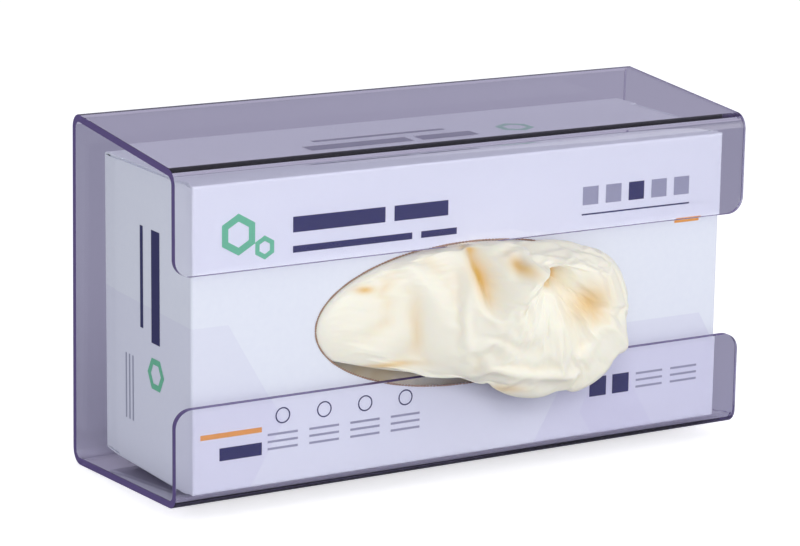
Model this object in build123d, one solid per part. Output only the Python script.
from build123d import *
from math import cos, exp, pi, radians, sin, sqrt, tan
import os

# Disposable glove dispenser: a clear folded holder, the carton in it and its gloves.
# Millimetres, +Z up, -Y is the front. The origin lies on the wall, on the middle of
# the line through the two screw holes.
os.makedirs("parts", exist_ok=True)

# Clear sheet of the holder
sheet = 3.0
flange_rake = 4.2
front_lean = 1.15
bend_radius = 3.0
upper_lip_height = 40.4
lower_lip_height = 38.6
lip_corner_radius = 7.0

# Room that the holder leaves around the carton: below and in front, at each end,
# behind and above
carton_clearance = 0.8
end_room = 9.0
rear_room = 9.6
headroom = 3.6

# Screw holes in the back panel
hole_height = 105.0
hole_spacing = 152.4
hole_diameter = 5.5

# Folded board of the carton
board = 0.5
carton_width = 240.0
carton_height = 118.8
carton_depth = 75.0
carton_shift = -0.4
fold_radius = 1.0
floor_sag = 2.0
end_sag = 0.8

# Torn opening in the carton's front
opening_width = 134.6
opening_height = 56.6
opening_drop = 1.7

# Glued flaps that close the carton's two ends
front_flap_gap = 9.0
front_flap_corner = 5.0
rear_flap_reach = 45.0
dust_flap_reach = 34.0
flap_margin = 0.7
left_flap_slot = board
right_flap_slot = 3.5
slot_margin = 4.0
slot_rear_margin = 15.0

# One flat glove, as it lies in the carton
glove_end_gap = 0.5
glove_headroom = 3.2
finger_width = 20.0
finger_lengths = (66.0, 78.0, 80.0, 70.0)
finger_spread = 3.0
thumb_width = 23.0
thumb_length = 52.0
thumb_angle = 20.0
thumb_root = 80.0

# Pile of interleaved gloves
pile_layers = 14
pile_front_gap = 9.0
pile_back_gap = 0.5
glove_clearance = 0.4

# Next glove, loose and wavy behind the opening
film = 0.8
wave_depth = 1.9
wave_length = 21.0
next_glove_depth = 5.2

# Glove that is half out of the opening, bunched into creased folds
lip_clearance = 0.5
rim_clearance = 0.4
bunch_reach = 33.3
crease_depth = 3.0
tail_length = 13.0
peak_height = 4.0
bunch_facets = 36
bunch_folds = 5
fold_twist = 0.55
fold_phase = 2.6
fine_folds = 11
fine_share = 0.35
bunch_squareness = 0.86
tail_angle = -0.02
tail_spread = 0.17
peak_angle = 1.05
peak_spread = 0.2
fold_drift = 0.9
fine_twist = 1.3
knot_depth = 2.0

# How far a cutting tool runs past what it cuts
overcut = 5.0


# Sizes that follow from the carton and the room around it
rake = tan(radians(flange_rake))
lean = tan(radians(front_lean))
holder_width = carton_width + 2 * end_room
floor_depth = 2 * sheet + carton_clearance + carton_depth + rear_room
front_rise = 2 * sheet + carton_clearance + carton_height + headroom
back_height = front_rise * (1 - rake * lean) + 2 * floor_depth * rake
opening_centre = carton_height / 2 - opening_drop
front_flap_reach = carton_depth - front_flap_gap
slot_length = carton_depth - slot_margin - slot_rear_margin

# Sizes of a glove that lies on its side and fills the carton
glove_length = carton_width - 2 * (2 * board + right_flap_slot + glove_end_gap)
palm_length = glove_length - max(finger_lengths)
outer_finger_angle = finger_spread * (len(finger_lengths) - 1) / 2
finger_splay = (finger_lengths[0] - finger_width / 2) * sin(radians(outer_finger_angle))
thumb_drop = thumb_length * sin(radians(thumb_angle))
glove_room = carton_height - 2 * board - glove_clearance - glove_headroom
palm_width = glove_room - thumb_drop - finger_splay

# Side outline of the holder, as (Y, Z) corners of its outside faces
base_z = -hole_height
front_low = (-floor_depth, base_z + floor_depth * rake)
front_high = (front_low[0] + front_rise * lean, front_low[1] + front_rise)
back_low = (0.0, base_z)
back_high = (0.0, base_z + back_height)
outline = make_face(Polyline(back_low, front_low, front_high, back_high, close=True))

# Front plane of the lips: its local Y runs up along them from the lower bend
front_face_height = front_rise / cos(radians(front_lean))
lip_plane = Plane(
    origin=(0, *front_low),
    x_dir=(1, 0, 0),
    z_dir=(0, -cos(radians(front_lean)), sin(radians(front_lean))),
)


def bent_profile(inset, radius):
    """The side outline moved inwards, with its four corners rounded as bends."""
    face = offset(outline, amount=-inset, kind=Kind.INTERSECTION)
    return fillet(face.vertices(), radius)


def make_holder():
    """One clear sheet: back panel, roof, floor and two front lips, open at both ends."""
    ring = bent_profile(0, bend_radius + sheet) - bent_profile(sheet, bend_radius)
    channel = extrude(Plane.YZ * ring, amount=holder_width / 2, both=True)
    through = sheet + overcut
    mouth_height = front_face_height - upper_lip_height - lower_lip_height
    mouth_centre = lower_lip_height + mouth_height / 2
    mouth_width = holder_width + 2 * overcut
    mouth = lip_plane * Pos(0, mouth_centre, 0) * Box(mouth_width, mouth_height, 2 * through)
    holder = channel - mouth
    lip_ends = holder.edges().filter_by(lambda edge: abs(edge.length - sheet) < 0.01)
    holder = fillet(lip_ends, lip_corner_radius)
    for side in (-1, 1):
        holder -= Pos(side * hole_spacing / 2, 0, 0) * Rot(X=90) * Cylinder(hole_diameter / 2, 2 * through)
    return holder


def carton_seat():
    """Point (Y, Z) where the carton's lower front edge stands, inside the front bend."""
    seat_outline = offset(outline, amount=-(sheet + carton_clearance), kind=Kind.INTERSECTION)
    seat = seat_outline.vertices().sort_by(Axis.Y)[:2].sort_by(Axis.X)[0]
    return seat.X, seat.Y


def carton_place():
    """Location that stands the carton on the floor bend, its front parallel to the lips."""
    return Location((carton_shift, *carton_seat()), (-front_lean, 0, 0))


def mouth_between_lips():
    """Heights of the two lips' free edges above the carton's lower front edge."""
    seat_y, seat_z = carton_seat()
    up_y = sin(radians(front_lean))
    up_z = cos(radians(front_lean))
    seat_height = (seat_y - front_low[0]) * up_y + (seat_z - front_low[1]) * up_z
    return lower_lip_height - seat_height, front_face_height - upper_lip_height - seat_height


def sagging_block(inset):
    """Carton volume moved inwards, with the floor sagging between its edges."""
    width = carton_width - 2 * inset
    depth = carton_depth - 2 * inset
    height = carton_height - 2 * inset
    block = Pos(0, carton_depth / 2, carton_height / 2) * Box(width, depth, height)
    low = inset
    side_arc = ThreePointArc(
        (inset, low), (carton_depth / 2, low - floor_sag), (carton_depth - inset, low)
    )
    side_face = make_face([side_arc, Line(side_arc @ 1, side_arc @ 0)])
    side_belly = extrude(Plane.YZ * side_face, amount=width / 2, both=True)
    end_low = low - end_sag
    front_arc = ThreePointArc(
        (-width / 2, end_low), (0, low - floor_sag), (width / 2, end_low)
    )
    front_face = make_face(
        [front_arc, Polyline(front_arc @ 1, (width / 2, low), (-width / 2, low), front_arc @ 0)]
    )
    front_belly = extrude(Plane.XZ * front_face, amount=-carton_depth)
    return block + (side_belly & front_belly)


def end_leaf(side, depth_in, y_range, z_range):
    """Flat flap of board near an end, its outer face a distance in from that end."""
    y_size = y_range[1] - y_range[0]
    z_size = z_range[1] - z_range[0]
    x = side * (carton_width / 2 - depth_in - board / 2)
    return Pos(x, sum(y_range) / 2, sum(z_range) / 2) * Box(board, y_size, z_size)


def end_trims(side, slot):
    """What is cut away at an end: around the front flap's free edges and in the roof."""
    flap_low = flap_margin - end_sag
    flap_high = carton_height - flap_margin
    flap = Pos(front_flap_reach / 2, (flap_low + flap_high) / 2) * Rectangle(
        front_flap_reach, flap_high - flap_low
    )
    flap = fillet(flap.vertices().group_by(Axis.X)[-1], front_flap_corner)
    all_height = 2 * (carton_height + overcut)
    fold = Rectangle(4 * fold_radius, all_height)
    around = Pos(carton_depth / 2, 0) * Rectangle(carton_depth, all_height)
    end_face = Pos(side * (carton_width - board) / 2, 0, 0)
    free_edges = end_face * extrude(Plane.YZ * (around - flap - fold), amount=board / 2, both=True)
    roof_slot = Box(slot, slot_length, 2 * (board + overcut))
    slot_x = side * (carton_width / 2 - board - slot / 2)
    return [free_edges, Pos(slot_x, slot_margin + slot_length / 2, carton_height) * roof_slot]


def end_flaps(side, slot):
    """The flaps behind the front one: the rear flap and two dust flaps."""
    ceiling = carton_height - board
    rear = end_leaf(
        side, board, (carton_depth - rear_flap_reach, carton_depth), (flap_margin, ceiling - flap_margin)
    )
    dust_span = (slot_margin, carton_depth - slot_margin)
    upper = end_leaf(side, board + slot, dust_span, (ceiling - dust_flap_reach, ceiling))
    lower = end_leaf(side, 2 * board, dust_span, (0, dust_flap_reach))
    return [rear, upper, lower]


def make_carton():
    """One folded board: a tube of four panels, glued end flaps and the torn opening."""
    outside = sagging_block(0)
    long_folds = outside.edges().filter_by(Axis.X)
    front_folds = outside.edges().filter_by(Axis.Z).group_by(Axis.Y)[0]
    outside = fillet(long_folds + front_folds, fold_radius)
    carton = outside - sagging_block(board)
    for side, slot in ((-1, left_flap_slot), (1, right_flap_slot)):
        for trim in end_trims(side, slot):
            carton -= trim
        for flap in end_flaps(side, slot):
            carton += flap
    opening = Ellipse(opening_width / 2, opening_height / 2)
    carton -= Plane.XZ * Pos(0, opening_centre) * extrude(opening, amount=board + overcut, both=True)
    return carton


def glove_outline():
    """One flat glove seen from the front: cuff to the left, thumb below."""
    cuff_x = -glove_length / 2
    palm = Pos(cuff_x + palm_length / 2, 0) * Rectangle(palm_length, palm_width)
    shape = palm
    last_finger = len(finger_lengths) - 1
    finger_pitch = (palm_width - finger_width) / last_finger
    for index, length in enumerate(finger_lengths):
        row = index - last_finger / 2
        root = Pos(cuff_x + palm_length, row * finger_pitch)
        reach = length + finger_width
        finger = Pos((length - finger_width) / 2, 0) * SlotOverall(reach, finger_width)
        shape += root * Rot(Z=row * finger_spread) * finger
    thumb = Pos(thumb_length / 2, 0) * SlotOverall(thumb_length + thumb_width, thumb_width)
    thumb_foot = Pos(cuff_x + thumb_root, (thumb_width - palm_width) / 2)
    return shape + thumb_foot * Rot(Z=-thumb_angle) * thumb


def stood_glove(front, thickness, turned):
    """Flat glove on its side in the carton, from a depth behind the front panel."""
    outline_face = glove_outline()
    low = outline_face.bounding_box().min.Y
    stand = board + glove_clearance - low
    glove = extrude(Plane.XZ * Pos(0, stand) * outline_face, amount=-thickness)
    if turned:
        glove = mirror(glove, about=Plane.YZ)
    return Pos(0, front, 0) * glove


def make_glove_pile():
    """Gloves packed flat, each turned end for end on the last, as one pile."""
    front = board + pile_front_gap
    layer = (carton_depth - board - pile_back_gap - front) / pile_layers
    gloves = [
        stood_glove(front + index * layer, layer, index % 2 == 1) for index in range(pile_layers)
    ]
    return gloves[0].fuse(*gloves[1:])


def make_next_glove():
    """The glove that comes next: flat film, creased into pleats behind the opening."""
    low = board + glove_clearance
    high = carton_height - board - glove_clearance
    pleats = round(2 * (high - low) / wave_length)
    front_line = [
        (next_glove_depth + wave_depth * (-1) ** step, low + (high - low) * step / pleats)
        for step in range(pleats + 1)
    ]
    back_line = [(depth + film, height) for depth, height in reversed(front_line)]
    section = make_face(Polyline(*front_line, *back_line, close=True))
    film_sheet = extrude(Plane.YZ * section, amount=glove_length / 2, both=True)
    return film_sheet & stood_glove(0, carton_depth, False)


# Rings of the bunch from inside the carton outwards and on to the knot near its top,
# all as shares: distance out of the reach, centre along, centre up, half width and
# half height of the opening's half width and half height, then of the crease depth,
# the tail and the peak
bunch_rings = (
    (-0.090, 0.000, 0.163, 0.951, 0.777, 0.00, 0.00, 0.00),
    (0.009, 0.000, 0.163, 0.978, 0.820, 0.00, 0.00, 0.00),
    (0.138, 0.045, 0.134, 0.892, 0.830, 0.27, 0.00, 0.00),
    (0.270, 0.193, 0.028, 0.736, 0.972, 0.67, 0.00, 0.25),
    (0.450, 0.327, -0.042, 0.609, 1.042, 0.87, 0.70, 0.60),
    (0.631, 0.364, -0.078, 0.542, 1.025, 1.00, 0.85, 0.40),
    (0.811, 0.386, -0.042, 0.453, 0.919, 1.00, 0.31, 0.00),
    (0.931, 0.379, 0.046, 0.349, 0.760, 0.80, 0.00, 0.00),
    (1.000, 0.349, 0.187, 0.253, 0.565, 0.60, 0.00, 0.00),
    (0.991, 0.312, 0.399, 0.156, 0.353, 0.40, 0.00, 0.00),
    (0.916, 0.282, 0.594, 0.082, 0.194, 0.15, 0.00, 0.00),
)
rings_in_opening = 2
rings_between_lips = 3


def rounded(value):
    """Cosine or sine of a turn, squared off a little."""
    return (1 if value >= 0 else -1) * abs(value) ** bunch_squareness


def bump(turn, angle, spread):
    """Height of a single fold that stands out at one angle around the bunch."""
    away = (turn - angle + pi) % (2 * pi) - pi
    return exp(-((away / spread) ** 2))


def kept_in_opening(x, z):
    """The same point, or where it lies outside the opening, the nearest place inside."""
    half_width = opening_width / 2 - rim_clearance
    half_height = opening_height / 2 - rim_clearance
    up = z - opening_centre
    past = max(1, sqrt((x / half_width) ** 2 + (up / half_height) ** 2))
    return x / past, opening_centre + up / past


def bunch_ring(index, out, along, up, width_share, height_share, fold, tail, peak):
    """Points of one creased ring around the bunched glove."""
    centre_x = along * opening_width / 2
    centre_z = opening_centre + up * opening_height / 2
    half_width = width_share * opening_width / 2
    half_height = height_share * opening_height / 2
    lowest, highest = mouth_between_lips()
    points = []
    for step in range(bunch_facets):
        turn = 2 * pi * step / bunch_facets
        drift = fold_drift * sin(2 * turn)
        coarse = sin(bunch_folds * turn + drift + fold_phase + fold_twist * index)
        fine = sin(fine_folds * turn + fine_twist * index)
        stand = fold * crease_depth * (coarse + fine_share * fine)
        stand += tail * tail_length * bump(turn, tail_angle, tail_spread)
        stand += peak * peak_height * bump(turn, peak_angle, peak_spread)
        x = centre_x + (half_width + stand) * rounded(cos(turn))
        z = centre_z + (half_height + stand) * rounded(sin(turn))
        if index < rings_in_opening:
            x, z = kept_in_opening(x, z)
        if index < rings_between_lips:
            z = min(max(z, lowest + lip_clearance), highest - lip_clearance)
        points.append((x, -out * bunch_reach, z))
    return points


def facet(*corners):
    """Flat three-sided piece of film between creases."""
    return Face(Wire.make_polygon(corners, close=True))


def fan(tip, ring):
    """Facets from a ring to one point."""
    return [facet(tip, ring[step - 1], ring[step]) for step in range(len(ring))]


def make_pulled_glove():
    """The glove that hangs half out of the opening: a bag of film creased into facets."""
    rings = [bunch_ring(index, *ring) for index, ring in enumerate(bunch_rings)]
    inner_tip = Vector()
    outer_tip = Vector(0, knot_depth, 0)
    for inner_point, outer_point in zip(rings[0], rings[-1]):
        inner_tip += Vector(inner_point) / bunch_facets
        outer_tip += Vector(outer_point) / bunch_facets
    facets = fan(inner_tip, rings[0]) + fan(outer_tip, rings[-1])
    for inner, outer in zip(rings, rings[1:]):
        for step in range(bunch_facets):
            facets.append(facet(inner[step - 1], inner[step], outer[step]))
            facets.append(facet(inner[step - 1], outer[step], outer[step - 1]))
    return Solid(Shell(facets))


def export(shape, name):
    """Write one sub-part as a STEP file."""
    export_step(shape, f"parts/{name}.step")


if __name__ == "__main__":
    place = carton_place()
    export(make_holder(), "holder_shell")
    export(place * make_carton(), "glove_carton")
    export(place * make_glove_pile(), "glove_pile")
    export(place * make_next_glove(), "next_glove")
    export(place * make_pulled_glove(), "pulled_glove")
